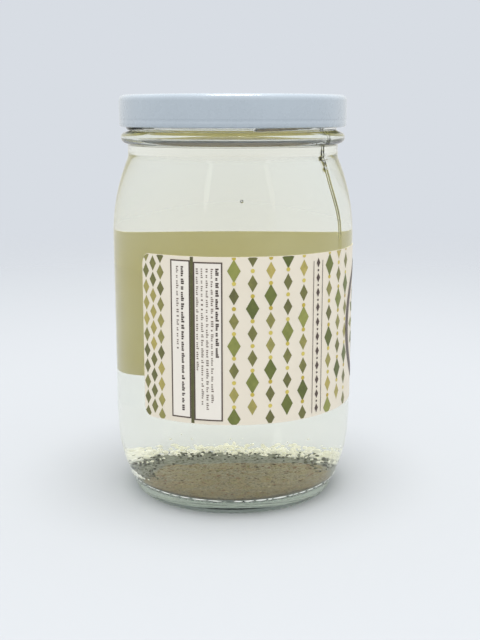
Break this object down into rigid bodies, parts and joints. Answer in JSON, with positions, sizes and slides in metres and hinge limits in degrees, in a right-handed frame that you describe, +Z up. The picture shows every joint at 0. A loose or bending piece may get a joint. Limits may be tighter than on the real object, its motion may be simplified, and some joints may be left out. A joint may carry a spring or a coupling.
{
  "type": "bottle of pickle juice",
  "caption": "Round glass jar of pale pickle juice with a white screw-off metal lid, a wrap label and spice settled at the bottom.",
  "frame": {"origin": "centre of the flat base ring, on the surface the jar stands on", "axes": "+Z up along the jar's axis; -Y is the side the picture was taken from, with the label's left edge to the left of it"},
  "size_m": [0.0796, 0.0802, 0.1304],
  "materials": {
    "jar_glass": "clear, faintly green, polished",
    "lid_paint": "satin white enamel",
    "label_paper": "satin printed paper",
    "pickle_juice": "clear pale yellow-green liquid",
    "settled_spice": "wet, matte, grainy"
  },
  "bodies": {
    "root": {"glass_jar": "jar_glass", "lid": "lid_paint", "label": "label_paper", "pickle_juice": "pickle_juice", "settled_spice": "settled_spice"}
  },
  "joints": []
}
